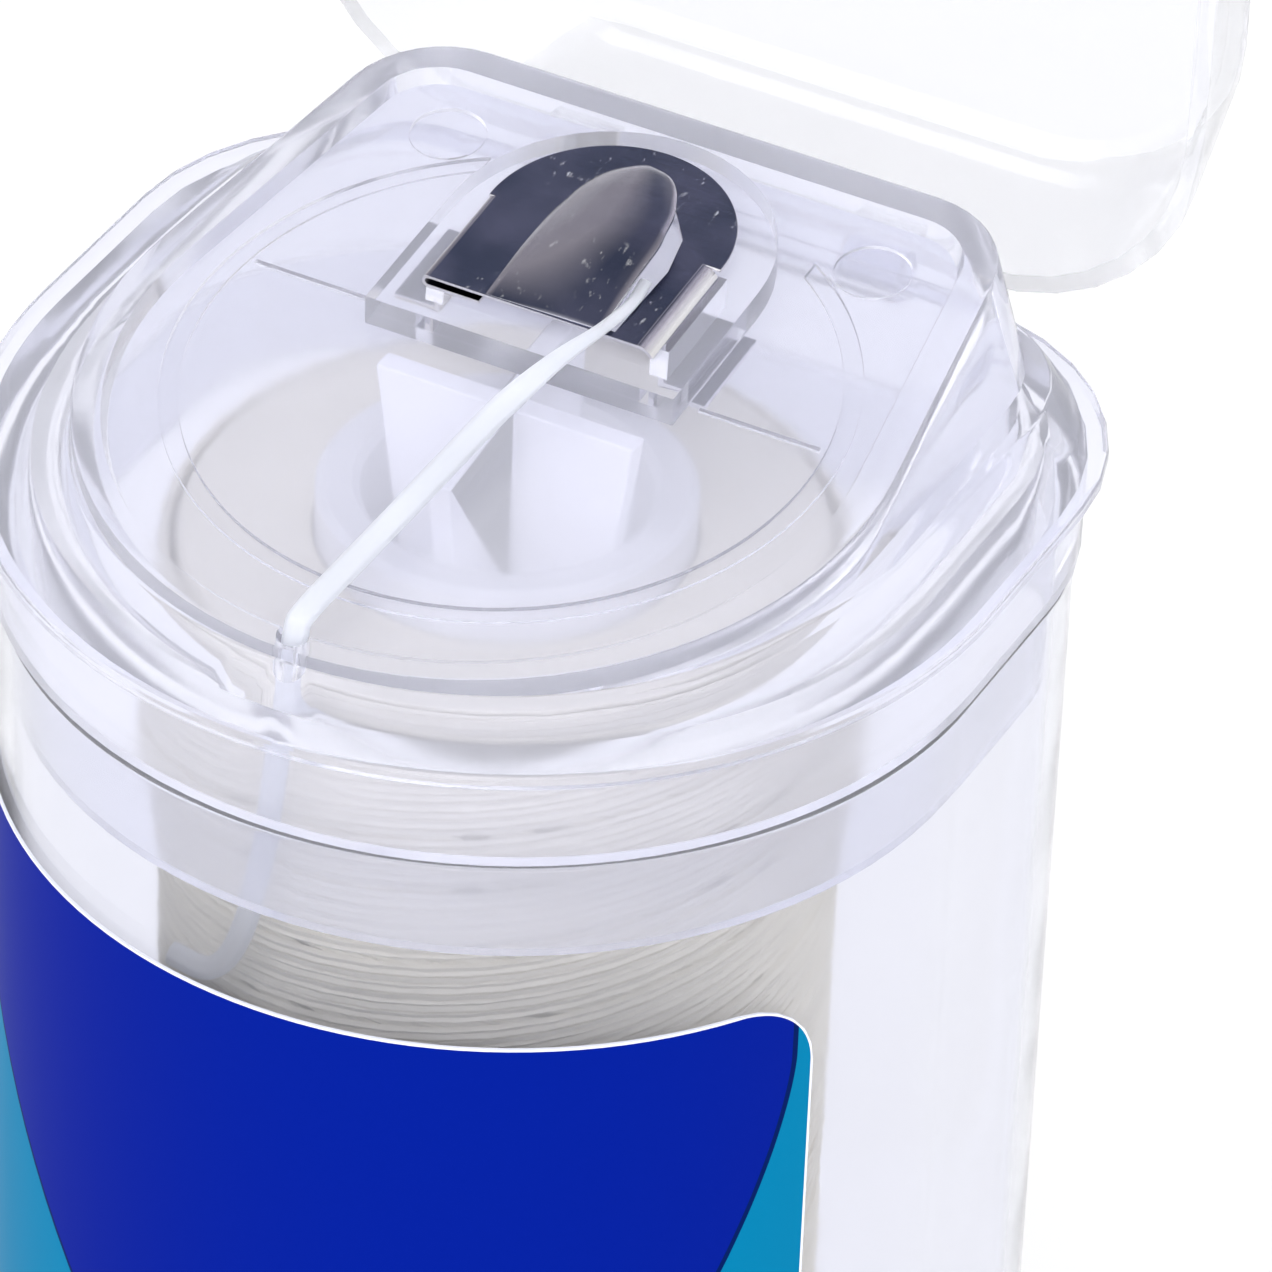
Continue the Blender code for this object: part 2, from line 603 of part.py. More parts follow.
def make_spool(parts, looks):
    edge = CORE_EDGE
    core = turned("spool_core", [(CORE_RADIUS - edge, CORE_HIGH), (CORE_RADIUS, CORE_HIGH - edge),
                                 (CORE_RADIUS, CORE_LOW + edge), (CORE_RADIUS - edge, CORE_LOW),
                                 (CORE_BORE, CORE_LOW), (CORE_BORE, CORE_HIGH - edge),
                                 (CORE_BORE + edge, CORE_HIGH)], parts, looks["core"])
    inner = CORE_RADIUS + GAP
    layers = turned("floss_layers", [(PACK_RADIUS, PACK_HIGH), (PACK_RADIUS, PACK_BASE),
                                     (inner, PACK_BASE), (inner, PACK_HIGH)], parts, looks["floss"])
    smooth(core)
    smooth(layers)
    winding = tube("floss_winding", winding_points(), WIND_DIAMETER, parts, looks["wound"], 1)
    smooth(winding)


def winding_points():
    """Outer layer as one tube. Both ends run straight for one diameter."""
    count = WIND_LOOPS * WIND_TURN_STEPS
    turns = np.linspace(0, WIND_LOOPS, count + 1)
    angle = turns * 2 * math.pi
    z = WIND_LOW + (WIND_HIGH - WIND_LOW) * turns / WIND_LOOPS
    points = np.stack([WIND_RADIUS * np.cos(angle), WIND_RADIUS * np.sin(angle), z], axis=1)
    start, end = points[0] - points[1], points[-1] - points[-2]
    start *= WIND_DIAMETER / np.linalg.norm(start)
    end *= WIND_DIAMETER / np.linalg.norm(end)
    points = np.vstack([points[0] + start, points, points[-1] + end])
    apart = np.linalg.norm(points[:, None] - points[None], axis=2)
    far = np.abs(np.subtract.outer(range(len(points)), range(len(points)))) > WIND_TURN_STEPS * HALF_SHARE
    least = apart[far].min() - WIND_DIAMETER
    print("winding: least gap to itself %.2f mm" % (least / MM))
    assert least > WIND_GAP
    return points


def make_strand(parts, look):
    rise = []
    for clear, bearing, drop in RISE_ROUTE:
        reach = PACK_OUTER + clear
        rise.append((reach * math.cos(bearing), reach * math.sin(bearing), BODY_HEIGHT - drop))
    over = [(x, EXIT_Y + y, above) for x, y, above in EXIT_ROUTE] + list(DECK_ROUTE)
    over = [(x, y, deck_height(y) + above) for x, y, above in over]
    points = smoothed(rise + over, STRAND_STEP)
    print("strand: %d points, %.1f mm long" % (len(points), path_length(points) / MM))
    smooth(tube("floss_strand", points, STRAND, parts, look, 2))


def path_length(points):
    return np.linalg.norm(np.diff(points, axis=0), axis=1).sum()


def make_label(parts, look):
    """Thin sheet bent round the front wall, drawn flat with round corners and then wrapped."""
    inner = BODY_HALF + GAP
    half = LABEL_ANGLE * inner
    plan = rounded_sheet(half, LABEL_LOW, LABEL_HIGH, LABEL_CORNER)
    shape = bmesh.new()
    columns = []
    for x, low, high in plan:
        angle = x / inner
        column = []
        for radius in (inner, inner + LABEL_THICK):
            for z in (low, high):
                column.append(shape.verts.new((radius * math.sin(angle), -radius * math.cos(angle), z)))
        columns.append(column)
    for a, b in zip(columns, columns[1:]):
        for i, j in ((0, 1), (1, 3), (3, 2), (2, 0)):
            shape.faces.new((a[i], a[j], b[j], b[i]))
    for ends in (columns[0], columns[-1]):
        shape.faces.new((ends[0], ends[1], ends[3], ends[2]))
    bmesh.ops.recalc_face_normals(shape, faces=shape.faces)
    mesh = bpy.data.meshes.new("front_label")
    shape.to_mesh(mesh)
    shape.free()
    smooth(placed("front_label", mesh, parts, look))


def rounded_sheet(half, low, high, corner):
    """Stations across the sheet, each with its lower and upper edge."""
    turn = np.linspace(0, math.pi * HALF_SHARE, 7)[:-1]
    ends = [half - corner * (1 - math.sin(t)) for t in turn[1:]]
    inner = list(np.linspace(-half + corner, half - corner, LABEL_STEPS))
    stations = [-half] + [-x for x in ends[::-1]] + inner + ends + [half]
    sheet = []
    for x in stations:
        into = max(0.0, abs(x) - half + corner)
        drop = corner - math.sqrt(max(0.0, corner * corner - into * into))
        sheet.append((x, low + drop, high - drop))
    return sheet


def main():
    clear_scene()
    parts = collection("dental_floss_dispenser")
    cutters = collection("cutters")
    clear = (0.93, 0.94, 0.97)
    make_container(parts, cutters, material("clear_body", clear, 0.08, see_through=0.9))
    make_closure(parts, cutters, material("clear_closure", clear, 0.1, see_through=0.9))
    make_lid(parts, cutters, material("clear_lid", clear, 0.08, see_through=0.9))
    make_cutter(parts, cutters, material("steel", (0.62, 0.62, 0.63), 0.25, metal=1.0))
    make_spindle(parts, cutters, material("frosted_plastic", (0.9, 0.92, 0.95), 0.4, see_through=0.5))
    make_spool(parts, {
        "core": material("core_plastic", (0.88, 0.87, 0.84), 0.35, see_through=0.3),
        "floss": material("floss_inner", (0.93, 0.91, 0.86), 0.85),
        "wound": material("floss_outer", (0.95, 0.93, 0.88), 0.8),
    })
    make_strand(parts, material("floss_line", (0.96, 0.95, 0.91), 0.7))
    make_label(parts, material("label_blue", (0.0, 0.06, 0.45), 0.3))


main()
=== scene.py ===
import math

import bmesh
import bpy
import numpy as np
from mathutils import Matrix, Vector


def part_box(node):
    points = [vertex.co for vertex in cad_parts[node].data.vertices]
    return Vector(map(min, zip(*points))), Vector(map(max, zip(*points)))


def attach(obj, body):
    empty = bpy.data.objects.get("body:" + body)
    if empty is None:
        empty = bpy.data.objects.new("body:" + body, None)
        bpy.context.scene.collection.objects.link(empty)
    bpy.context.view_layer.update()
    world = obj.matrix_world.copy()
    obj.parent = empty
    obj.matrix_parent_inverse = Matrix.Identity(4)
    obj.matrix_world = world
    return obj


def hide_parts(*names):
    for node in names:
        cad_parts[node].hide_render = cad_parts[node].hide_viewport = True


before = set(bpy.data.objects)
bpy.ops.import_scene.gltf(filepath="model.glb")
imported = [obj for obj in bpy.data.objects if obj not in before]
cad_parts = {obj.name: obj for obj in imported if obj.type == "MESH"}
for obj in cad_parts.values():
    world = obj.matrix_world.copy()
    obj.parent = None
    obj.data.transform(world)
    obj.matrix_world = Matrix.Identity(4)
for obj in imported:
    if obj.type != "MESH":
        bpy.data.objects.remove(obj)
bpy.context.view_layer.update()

bl_info = {
    "name": "Dental Floss Dispenser",
    "version": (1, 0, 0),
    "blender": (4, 5, 0),
    "location": "3D View > Sidebar > Floss",
    "description": "Dresses the clear dispenser, its cutter, its wound floss and its label",
    "category": "Add Mesh",
}

MM = 0.001


def in_mm(*points):
    """Points in metres, from numbers in millimetres."""
    return tuple(tuple(number * MM for number in point) for point in points)


# Photograph's view
VIEW_AZIMUTH = math.radians(26.797)
VIEW_ELEVATION = math.radians(37.014)
VIEW_ROLL = math.radians(2.186)
VIEW_PLACE = (0.16998, -0.32171, 0.33124)
FOCAL_MM = 254.72
SENSOR_MM = 36.0
CLIP_START = 0.01

# Stage, with each lamp's name, place, size and power
BOUNCES = 16
FLOOR_SIZE = 3.0
FLOOR_COLOUR = (0.93, 0.93, 0.94)
FLOOR_GLOW = 0.8
WORLD_COLOUR = (0.93, 0.94, 1)
WORLD_STRENGTH = 1.1
LAMPS = (("key", (-0.5, -0.5, 0.9), 0.6, 2.2),
         ("fill", (0.35, -0.8, 0.4), 0.8, 4.0),
         ("back", (0.1, 0.8, 0.7), 0.7, 1.8))
LAMPS_AIM = Vector((0, 0, 0.06))

# Meshes: what counts as one point and as one plane, how far large faces lead the shading, and sides of rounds
TOUCHING = 1e-6
FLAT_WITHIN = math.radians(0.6)
FACE_WEIGHT = 90
FRONT_SEGMENTS = 48
CORNER_SEGMENTS = 14
ROUND_SIDES = 128
BOSS_SIDES = 96

# Tub, as in the frame, and its boss, which starts a little inside the floor
BODY_CORNER = 13.0 * MM
BODY_WALL = 0.9 * MM
BODY_FLOOR = 1.4 * MM
BOSS_RADIUS = 6.6 * MM
BOSS_HEIGHT = 5.2 * MM
BOSS_ROOT = 0.2 * MM

# Sloping deck, as in the frame, and the matte band in its plane
DECK_Z = 71.0 * MM
DECK_START = -20.0 * MM
DECK_SLOPE = math.tan(math.radians(6.34))
BAND_WITHIN = 0.06 * MM
BAND_ROUGH = 0.24

# Moulded lines in the deck's floor
RECESS = 0.8 * MM
CREASE_RADIUS = 17.0 * MM
CREASE_WIDTH = 0.5 * MM
CREASE_DEEP = 0.22 * MM
CREASE_GAP = 9.3 * MM
FOLD_WIDTH = 0.12 * MM
FOLD_Y = 2.4 * MM

# Cutter: sheet metal drawn in its own level plane, whose zero is the plate's top
PLATE_HALF = 6.6 * MM
PLATE_FRONT = 2.7 * MM
PLATE_CENTRE = 9.8 * MM
PLATE_CORNER = 0.1 * MM
PLATE_TOP = 1.5 * MM
SHEET = 0.17 * MM
SEAM = 0.02 * MM
ROLL_RIGHT = 0.9 * MM
ROLL_TURN = math.radians(62)
ROLL_STEPS = 12
ROLL_LEFT = 0.26 * MM
ROLL_BACK = 9.6 * MM
HEM = 2.9 * MM
LEG_FRONT = 4.0 * MM
LEG_BACK = 9.6 * MM
LEG_IN = 6.2 * MM
LEG_OUT = 6.5 * MM
LEG_TOP = -0.55 * MM
TAB_OUT = 8.8 * MM
TAB_LOW = -4.2 * MM

# Cutter's leaf: its edges from front to tip, its rise to the right and its crown
LEAF_ROWS = 44
LEAF_COLUMNS = 18
LEAF_SOFTENINGS = 3
LEAF_SHEETS = 1.5
LEAF_RISE = 1.45 * MM
LEAF_RISE_FRONT = 0.1
LEAF_RISE_RATE = 1.7
LEAF_CROWN = 0.75 * MM
LEAF_CROWN_SIDE = 0.12
LEAF_CROWN_RATE = 0.9
LEAF_BROAD = 5.5 * MM
LEAF_MERGE = 0.01 * MM
LEAF_LEFT = in_mm((-3.0, 2.75), (-3.05, 6.5), (-2.95, 9.4), (-2.5, 12.0), (-2.05, 13.1), (-1.4, 13.9),
                  (-0.5, 14.3))
LEAF_RIGHT = in_mm((3.5, 2.75), (3.7, 6.1), (3.9, 8.2), (3.5, 10.5), (2.7, 12.2), (1.9, 13.3), (1.0, 14.0),
                   (0.2, 14.3))
LEAF_SPAN = LEAF_RIGHT[2][0] - LEAF_LEFT[0][0]
WINDOW = in_mm((-2.7, 3.1), (4.1, 3.1), (4.2, 6.1), (4.3, 8.3), (3.8, 10.8), (2.6, 12.4), (0.9, 14.0),
               (-0.6, 14.6), (-1.7, 13.1), (-2.4, 10.7))

# Spool: the spindle's round edges, the package's body with its rounded ends, and the thread laid on it
SPINDLE_EDGE = 0.15 * MM
PACKAGE_UNDER = 0.9 * MM
PACKAGE_GAP = 0.15 * MM
PACKAGE_DISH = 0.2 * MM
PACKAGE_CHAMFER = 0.3 * MM
PACKAGE_ROUND = 1.2 * MM
PACKAGE_FOOT = 1.0 * MM
THREAD_FOOT = 0.9 * MM
THREAD_HEAD = 0.7 * MM
THREAD_INSET = 0.55
STROKE_TURNS = 3.37
STROKE_POINTS = 134
STROKE_SLIP = 0.013
STROKE_EASE = 0.07
STROKE_UNDER = 0.22 * MM

# Strand: along the package and up to the exit, then over the deck by heights above it
STRAND_WIDE = 1.3 * MM
STRAND_THICK = 0.6 * MM
STRAND_PINCH = 0.5
PINCH_FROM = -3.5 * MM
PINCH_TO = 3.2 * MM
STRAND_SIDES = 32
STRAND_FLUTES = 8
STRAND_FLUTE_DEPTH = 0.07
STRAND_TWIST = 0.03
STRAND_STEP = 0.35 * MM
STRAND_LEAST_STEPS = 3
STRAND_FACING = Vector((0.3, -1.0, 0.9))
STRAND_RISE = in_mm((-10.3, -15.4, 42.8), (-7.0, -17.1, 44.4), (-4.8, -18.0, 48.0), (-2.4, -19.5, 56.0),
                    (-0.8, -21.0, 63.0), (0, -21.7, 69.0))
STRAND_OVER = in_mm((0.05, -21.4, 0.1), (0.15, -20.6, 0.75), (0.6, -15.2, 0.85), (1.3, -5.5, 0.85),
                    (1.75, -2.4, 1.0), (2.7, 0.2, 1.6), (3.6, 2.8, 1.76), (3.95, 5.0, 1.7), (3.75, 7.0, 1.62))

# Label: half width as an angle, and its edges by height
LABEL_RADIUS = 26.25 * MM
LABEL_HALF = math.radians(65.0)
LABEL_LOW = 6.0 * MM
LABEL_HIGH = 51.2 * MM
LABEL_CORNER = 4.5 * MM
LABEL_BARE = 0.14 * MM

# Label's print: the lobe's right side curves away below its top, and its left side leans
LOBE_RIGHT = math.radians(62.5)
LOBE_RIGHT_TOP = 47.5 * MM
LOBE_RIGHT_POWER = 1.5
LOBE_RIGHT_CURVE = 105.0
LOBE_LEFT = math.radians(-35.6)
LOBE_LEFT_TOP = 31.8 * MM
LOBE_LEFT_LEAN = 32.4
LINE_HALF = 0.006

# Fixed colours
WHITE = (1, 1, 1)
MILKY_SHARES = (0.955, 0.955, 0.985)
SPINDLE_TINT = (0.80, 0.80, 0.84)
CORE_TINT = (0.88, 0.88, 0.91)
STRAND_TINT = (0.88, 0.90, 0.95)
# Steel's base colours are a painted dark reflection, in two tones varied at random
STEEL_PAINTED_DARK_REFLECTION = (0.034, 0.041, 0.073)
STEEL_PAINTED_REFLECTION_PALER = (0.066, 0.070, 0.115)
# Paler painted light on steel faces turned sideways
STEEL_PAINTED_SIDE_LIGHT = (0.24, 0.225, 0.265)
STEEL_SCUFFED = (0.6, 0.6, 0.62)
# Painted highlight on bent steel
STEEL_PAINTED_HIGHLIGHT = (0.74, 0.73, 0.75)
PRINT_LINE = (0.0, 0.01, 0.09)
PRINT_BARE = (0.8, 0.82, 0.88)
PRINT_BACK = (0.8, 0.81, 0.84)

# Range in which most of a noise lies
NOISE_LOW = 0.3
NOISE_HIGH = 0.7

# A mix node's first and second input and its output, by kind
MIX_SOCKETS = {"RGBA": (6, 7, 2), "FLOAT": (2, 3, 0)}


def deck_height(y):
    return DECK_Z + DECK_SLOPE * (y - DECK_START)


class FlossColours(bpy.types.PropertyGroup):
    """Colours that a user would change."""
    plastic: bpy.props.FloatVectorProperty(
        name="Plastic", description="Tint of the clear plastic", subtype="COLOR",
        default=(0.93, 0.935, 0.985), size=3, min=0, max=1)
    floss: bpy.props.FloatVectorProperty(
        name="Floss", description="Colour of the wound thread", subtype="COLOR",
        default=(0.80, 0.765, 0.67), size=3, min=0, max=1)
    label_field: bpy.props.FloatVectorProperty(
        name="Label field", description="Main colour of the label", subtype="COLOR",
        default=(0.0, 0.010, 0.24), size=3, min=0, max=1)
    label_wave: bpy.props.FloatVectorProperty(
        name="Label wave", description="Second colour of the label", subtype="COLOR",
        default=(0.0, 0.18, 0.34), size=3, min=0, max=1)


class FlossSizes(bpy.types.PropertyGroup):
    """Sizes that a user would change."""
    thread: bpy.props.FloatProperty(
        name="Thread", description="Width of one wound thread", unit="LENGTH",
        default=0.42 * MM, min=0.2 * MM)
    strokes: bpy.props.IntProperty(
        name="Strokes", description="Passes of the thread up and down the package", default=84, min=8)
    edge: bpy.props.FloatProperty(
        name="Edge", description="Round on moulded edges", unit="LENGTH", default=0.12 * MM, min=0)


# Small helpers for modelling

def object_mode():
    bpy.ops.object.mode_set(mode="OBJECT")


def deselect():
    if bpy.context.object and bpy.context.object.mode != "OBJECT":
        object_mode()
    bpy.ops.object.select_all(action="DESELECT")


def only(piece):
    deselect()
    piece.select_set(True)
    bpy.context.view_layer.objects.active = piece
    return piece


def linked(name, data):
    """New object with this data, the only one selected."""
    piece = bpy.data.objects.new(name, data)
    bpy.context.scene.collection.objects.link(piece)
    return only(piece)


def drawn(name, points, edges, faces):
    """New mesh object with these points, edges and faces."""
    mesh = bpy.data.meshes.new(name)
    mesh.from_pydata(points, edges, faces)
    return linked(name, mesh)


def context_piece(name):
    piece = bpy.context.object
    piece.name = name
    piece.data.name = name
    return piece


def edit_all(piece):
    """Opens the piece in edit mode with all of it selected."""
    only(piece)
    bpy.ops.object.mode_set(mode="EDIT")
    bpy.ops.mesh.select_all(action="SELECT")
    return piece


def settle(piece):
    """Applies the piece's place, turn and scale, so that it sits at the origin."""
    only(piece)
    bpy.ops.object.transform_apply(location=True, rotation=True, scale=True)
    return piece


def finish_modifiers(piece):
    only(piece)
    for step in list(piece.modifiers):
        bpy.ops.object.modifier_apply(modifier=step.name)
    return piece


def smooth(piece, angle=32.0):
    """Shades smooth where faces meet by less than this many degrees."""
    only(piece)
    bpy.ops.object.shade_smooth_by_angle(angle=math.radians(angle))
    step = piece.modifiers.new("flat", "WEIGHTED_NORMAL")
    step.keep_sharp = True
    step.weight = FACE_WEIGHT
    return finish_modifiers(piece)


def round_edges(piece, width, angle=40.0, segments=2):
    step = piece.modifiers.new("edge", "BEVEL")
    step.width = width
    step.segments = segments
    step.limit_method = "ANGLE"
    step.angle_limit = math.radians(angle)
    return finish_modifiers(piece)


def thickened(piece, thickness, offset):
    step = piece.modifiers.new("sheet", "SOLIDIFY")
    step.thickness = thickness
    step.offset = offset
    return finish_modifiers(piece)


def merged(piece, within):
    edit_all(piece)
    bpy.ops.mesh.remove_doubles(threshold=within)
    object_mode()
    return piece


def right_way_out(piece):
    edit_all(piece)
    bpy.ops.mesh.normals_make_consistent(inside=False)
    object_mode()
    return piece


def dressed(piece, material, body, slot, *nodes):
    piece.data.materials.clear()
    piece.data.materials.append(material)
    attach(piece, body)
    if nodes:
        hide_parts(*nodes)
    return piece


def refined_copy(node, name, edge):
    """Merged copy of a CAD node with rounded edges, shaded smooth."""
    piece = linked(name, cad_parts[node].data.copy())
    edit_all(piece)
    bpy.ops.mesh.remove_doubles(threshold=2 * TOUCHING)
    bpy.ops.mesh.dissolve_limited(angle_limit=FLAT_WITHIN)
    object_mode()
    if edge:
        round_edges(piece, edge, angle=38)
    return smooth(piece)


def pick(piece, kind, test):
    """Selects in edit mode the verts, edges or faces that pass the test, and no others."""
    shape = bmesh.from_edit_mesh(piece.data)
    bpy.context.tool_settings.mesh_select_mode = (kind == "verts", kind == "edges", kind == "faces")
    shape.select_mode = {kind[:-1].upper()}
    for item in (*shape.faces, *shape.edges, *shape.verts):
        item.select_set(False)
    for item in getattr(shape, kind):
        if test(item):
            item.select_set(True)
    bmesh.update_edit_mesh(piece.data)


def d_plan(name, half, back, corner, z):
    """Flat D-shaped face with a round front and two round back corners, left in edit mode."""
    deselect()
    bpy.ops.mesh.primitive_plane_add(size=1, location=(0, (back - half) * 0.5, z))
    piece = context_piece(name)
    piece.scale = (2 * half, half + back, 1)
    settle(piece)
    bpy.ops.object.mode_set(mode="EDIT")
    pick(piece, "verts", lambda v: v.co.y < 0)
    bpy.ops.mesh.bevel(offset=half, segments=FRONT_SEGMENTS, affect="VERTICES", profile=0.5)
    pick(piece, "verts", lambda v: v.co.y > back - TOUCHING)
    bpy.ops.mesh.bevel(offset=corner, segments=CORNER_SEGMENTS, affect="VERTICES", profile=0.5)
    bpy.ops.mesh.select_all(action="SELECT")
    bpy.ops.mesh.remove_doubles(threshold=TOUCHING)
    return piece


def joined(pieces, name):
    only(pieces[0])
    for piece in pieces[1:]:
        piece.select_set(True)
    bpy.ops.object.join()
    return context_piece(name)


def cut(piece, cutter, operation="DIFFERENCE"):
    """Boolean with the cutter, which is then removed."""
    right_way_out(cutter)
    right_way_out(piece)
    step = piece.modifiers.new("cut", "BOOLEAN")
    step.operation = operation
    step.solver = "EXACT"
    step.object = cutter
    finish_modifiers(piece)
    bpy.data.objects.remove(cutter, do_unlink=True)
    return piece


def block(name, corner, opposite):
    """Box between two opposite corners."""
    low = [min(pair) for pair in zip(corner, opposite)]
    high = [max(pair) for pair in zip(corner, opposite)]
    deselect()
    middle = [(a + b) * 0.5 for a, b in zip(low, high)]
    bpy.ops.mesh.primitive_cube_add(size=1, location=middle)
    piece = context_piece(name)
    piece.scale = [b - a for a, b in zip(low, high)]
    return settle(piece)


def onto_deck(piece, above):
    """Shears the piece from level ground onto the sloping deck."""
    for vertex in piece.data.vertices:
        vertex.co.z += deck_height(vertex.co.y) + above
    return piece


def extrude(x, y, z):
    bpy.ops.mesh.extrude_region_move(TRANSFORM_OT_translate={"value": (x, y, z)})


# Nodes, each helper placing its own in the tree of a material, world or group

def feed(tree, socket, value):
    """Links a socket to the input, or else sets the input to a number, direction or colour."""
    if isinstance(value, bpy.types.NodeSocket):
        tree.links.new(value, socket)
    elif socket.type == "RGBA":
        socket.default_value = (*value, 1)
    else:
        socket.default_value = value


def feed_all(tree, node, values):
    for name, value in values.items():
        feed(tree, node.inputs[name], value)
    return node


def map_range(tree, value, low, high, to_low=0, to_high=1):
    made = feed_all(tree, tree.nodes.new("ShaderNodeMapRange"), {
        "Value": value, "From Min": low, "From Max": high, "To Min": to_low, "To Max": to_high})
    return made.outputs["Result"]


def spread(tree, noise, to_low=0, to_high=1):
    """Noise's usual range stretched over this one."""
    return map_range(tree, noise, NOISE_LOW, NOISE_HIGH, to_low, to_high)


def mixed(tree, share, first, second, kind="RGBA"):
    """Colour or number between the two, by the share."""
    made = tree.nodes.new("ShaderNodeMix")
    made.data_type = kind
    low, high, out = MIX_SOCKETS[kind]
    for index, value in ((0, share), (low, first), (high, second)):
        feed(tree, made.inputs[index], value)
    return made.outputs[out]


def math_node(tree, operation, *values):
    made = tree.nodes.new("ShaderNodeMath")
    made.operation = operation
    for socket, value in zip(made.inputs, values):
        feed(tree, socket, value)
    return made.outputs[0]


def dot(tree, first, second):
    made = tree.nodes.new("ShaderNodeVectorMath")
    made.operation = "DOT_PRODUCT"
    feed(tree, made.inputs[0], first)
    feed(tree, made.inputs[1], second)
    return made.outputs["Value"]


def parts(tree, vector):
    """X, Y and Z of a vector socket."""
    made = tree.nodes.new("ShaderNodeSeparateXYZ")
    feed(tree, made.inputs[0], vector)
    return tuple(made.outputs)


def bump_from(tree, shader, height, strength, distance):
    bump = feed_all(tree, tree.nodes.new("ShaderNodeBump"), {
        "Strength": strength, "Distance": distance, "Height": height})
    feed(tree, shader.inputs["Normal"], bump.outputs["Normal"])


def mix_shaders(tree, share, first, second, output):
    """Shows the second shader in place of the first, by the share."""
    mix = tree.nodes.new("ShaderNodeMixShader")
    for socket, value in zip(mix.inputs, (share, first.outputs[0], second.outputs[0])):
        feed(tree, socket, value)
    feed(tree, output.inputs["Surface"], mix.outputs[0])


def let_light_through(tree, shader, share):
    """Lamps light what is behind the piece: its shadow is thin."""
    path = tree.nodes.new("ShaderNodeLightPath")
    weight = math_node(tree, "MULTIPLY", path.outputs["Is Shadow Ray"], share)
    clear = tree.nodes.new("ShaderNodeBsdfTransparent")
    mix_shaders(tree, weight, shader, clear, tree.nodes["Material Output"])


def glow_for_view(tree, shader, output, kind, share):
    """Shows white to the camera, gloss and clear plastic, by the share, and the shader to other rays."""
    path = tree.nodes.new("ShaderNodeLightPath")
    seen = math_node(tree, "MAXIMUM", path.outputs["Is Camera Ray"], path.outputs["Is Glossy Ray"])
    seen = math_node(tree, "MAXIMUM", seen, path.outputs["Is Transmission Ray"])
    glow = feed_all(tree, tree.nodes.new(kind), {"Color": WHITE})
    mix_shaders(tree, math_node(tree, "MULTIPLY", seen, share), shader, glow, output)


# Shared groups

def new_group(name, inputs, outputs):
    """Empty node group with these named sockets."""
    group = bpy.data.node_groups.new(name, "ShaderNodeTree")
    for way, sockets in (("INPUT", inputs), ("OUTPUT", outputs)):
        for socket, kind in sockets.items():
            group.interface.new_socket(socket, in_out=way, socket_type="NodeSocket" + kind)
    return group, group.nodes.new("NodeGroupInput").outputs, group.nodes.new("NodeGroupOutput").inputs


def grain_group(name):
    """Noise laid on the object's own coordinates."""
    group, given, result = new_group(
        name, {"Scale": "Float", "Detail": "Float", "Stretch": "Vector"}, {"Fac": "Float"})
    place = group.nodes.new("ShaderNodeTexCoord")
    mapping = feed_all(group, group.nodes.new("ShaderNodeMapping"), {
        "Vector": place.outputs["Object"], "Scale": given["Stretch"]})
    noise = feed_all(group, group.nodes.new("ShaderNodeTexNoise"), {
        "Vector": mapping.outputs["Vector"], "Scale": given["Scale"], "Detail": given["Detail"]})
    feed(group, result["Fac"], noise.outputs["Fac"])
    return group


def skin_group(name):
    """Moulded skin: a tone and a gloss that vary a little, and the height of slow waves."""
    group, given, result = new_group(
        name, {"Tint": "Color", "Shade": "Color", "Gloss": "Float", "Matt": "Float"},
        {"Color": "Color", "Roughness": "Float", "Height": "Float"})
    fine = grain(group, scale=160.0, detail=2.0)
    slow = grain(group, scale=110.0, detail=1.0)
    feed(group, result["Color"], mixed(group, spread(group, slow), given["Shade"], given["Tint"]))
    feed(group, result["Roughness"], spread(group, fine, given["Gloss"], given["Matt"]))
    feed(group, result["Height"], slow)
    return group


def fibre_group(name):
    """Waxed fibres: slow changes of tone and the height of fine lines, both drawn out level."""
    group, given, result = new_group(
        name, {"Tint": "Color", "Shade": "Color"}, {"Color": "Color", "Height": "Float"})
    slow = grain(group, scale=90.0, detail=4.0, stretch=(1, 1, 4))
    feed(group, result["Color"], mixed(group, spread(group, slow), given["Shade"], given["Tint"]))
    feed(group, result["Height"], grain(group, scale=900.0, detail=2.0, stretch=(1, 1, 5)))
    return group


GROUPS = {"surface_grain": grain_group, "moulded_skin": skin_group, "waxed_fibres": fibre_group}


def placed(tree, name, **values):
    """Places a shared group, made at its first use, with this material's own values."""
    made = tree.nodes.new("ShaderNodeGroup")
    made.node_tree = bpy.data.node_groups.get(name) or GROUPS[name](name)
    return feed_all(tree, made, values).outputs


def grain(tree, scale, detail=3.0, stretch=(1, 1, 1)):
    return placed(tree, "surface_grain", Scale=scale, Detail=detail, Stretch=stretch)["Fac"]


# Materials

def new_material(name):
    made = bpy.data.materials.new(name)
    made.use_nodes = True
    return made, made.node_tree, made.node_tree.nodes["Principled BSDF"]


def shade(tint, share):
    return [c * share for c in tint]


def moulded_clear(name, tint, rough, milk, solid=1.0, deck=False):
    """Clear plastic with slow waves in its skin and a varied gloss; its matte share is the milk in it."""
    made, tree, shader = new_material(name)
    skin = placed(tree, "moulded_skin", Tint=tint, Shade=shade(tint, 0.99), Gloss=rough * 0.6,
                  Matt=rough * 1.5)
    feed_all(tree, shader, {
        "Base Color": skin["Color"],
        "Roughness": matte_band(tree, skin["Roughness"]) if deck else skin["Roughness"],
        "Transmission Weight": 1.0 - milk,
        "IOR": 1.34,
        "Alpha": solid})
    bump_from(tree, shader, skin["Height"], strength=0.2, distance=0.3 * MM)
    let_light_through(tree, shader, 0.8)
    return made


